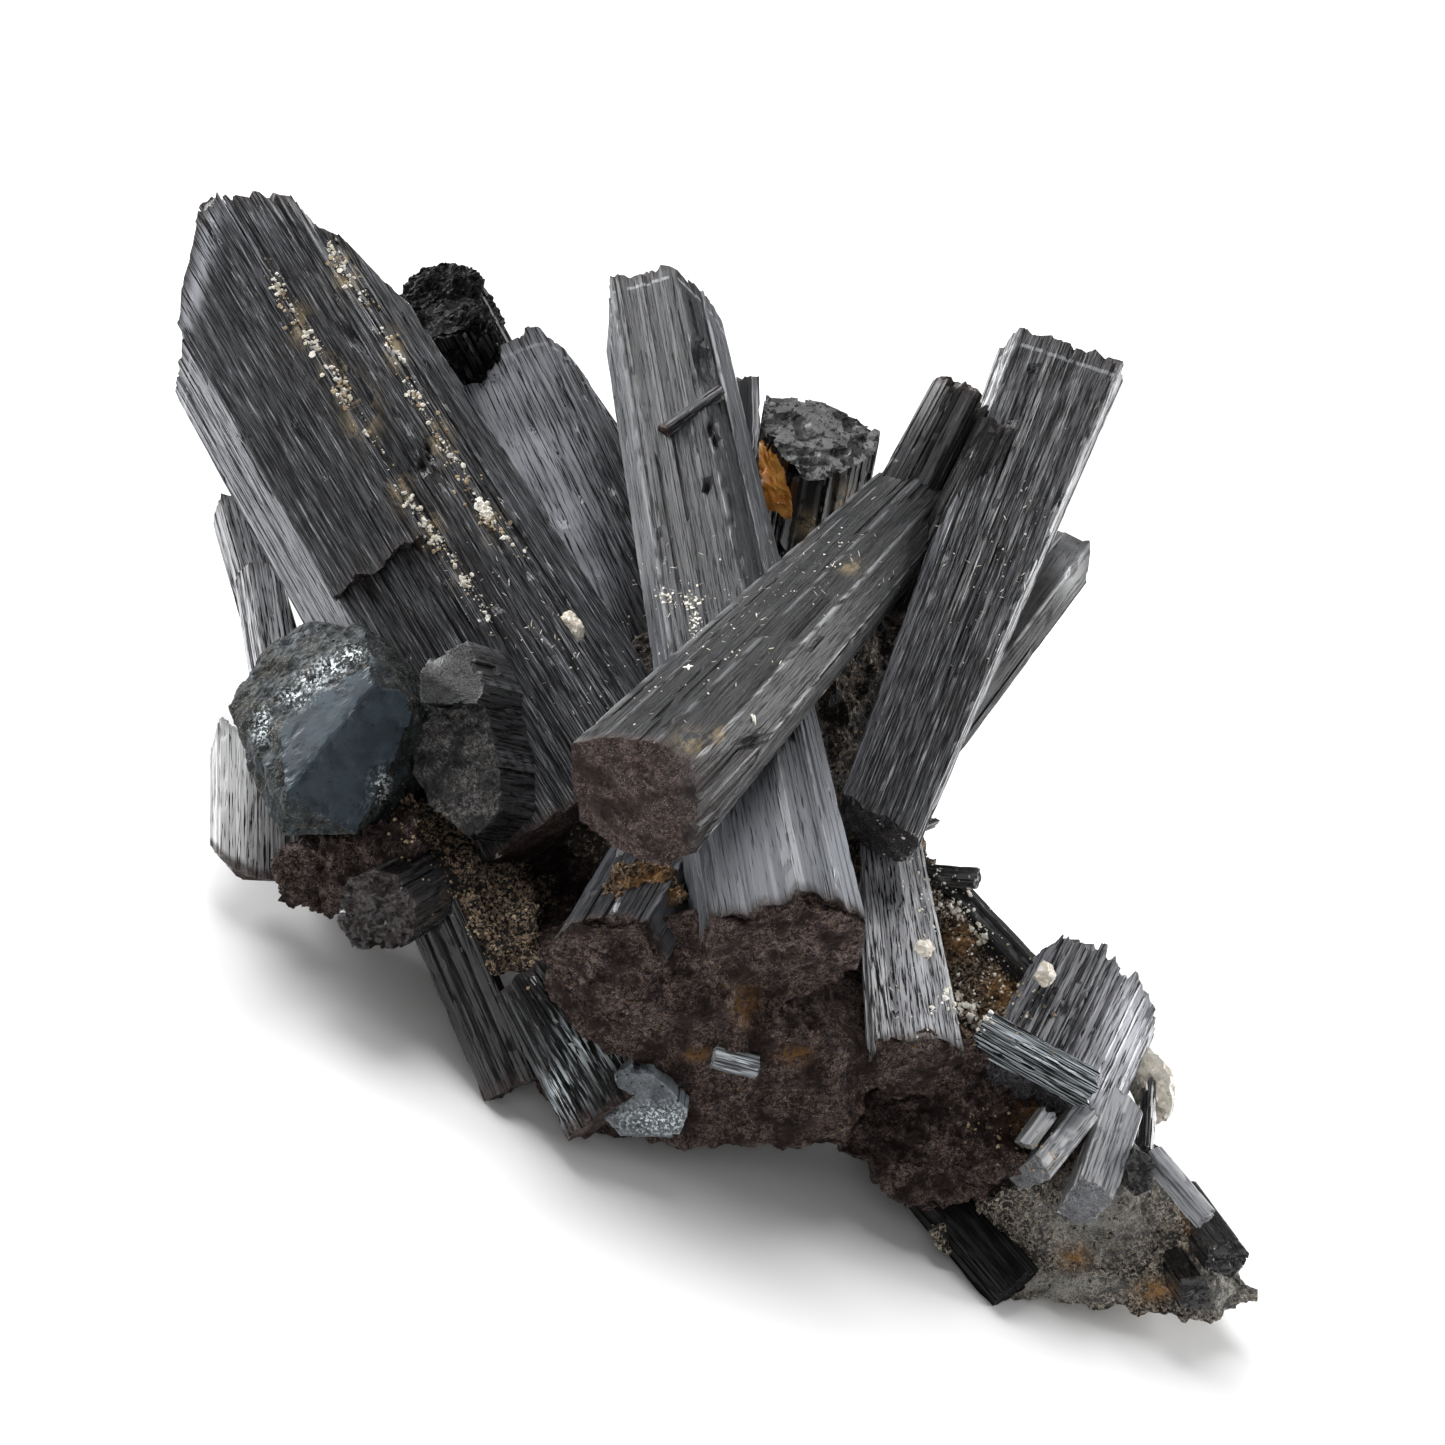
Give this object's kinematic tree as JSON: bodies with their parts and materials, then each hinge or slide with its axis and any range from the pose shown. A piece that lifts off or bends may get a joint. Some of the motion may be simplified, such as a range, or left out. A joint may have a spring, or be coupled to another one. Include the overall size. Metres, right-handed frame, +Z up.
{
  "type": "schorl crystal cluster",
  "caption": "Cluster of black striated schorl tourmaline prisms crossing at many angles, some broken across, grown from a rough brown root with small grains of feldspar and quartz.",
  "frame": {"origin": "on the flat underside's plane, under the middle of the cluster", "axes": "+X to the right as the cluster faces the viewer, along its longest extent; +Z up, along its shortest; -Y towards the viewer"},
  "size_m": [0.0932, 0.0624, 0.047],
  "materials": {
    "schorl": "glossy striated faces, dull rough broken ends",
    "iron_stained_grain": "glossy, amber to orange-brown",
    "quartz": "glassy, pale, cloudy",
    "feldspar": "cream white, dull with small bright cleavage faces"
  },
  "bodies": {
    "root": {"schorl_cluster": "schorl", "orange_grain": "iron_stained_grain", "quartz_grain": "quartz", "feldspar_grain_left": "feldspar", "feldspar_grain_front": "feldspar", "feldspar_grain_right": "feldspar"}
  },
  "joints": []
}
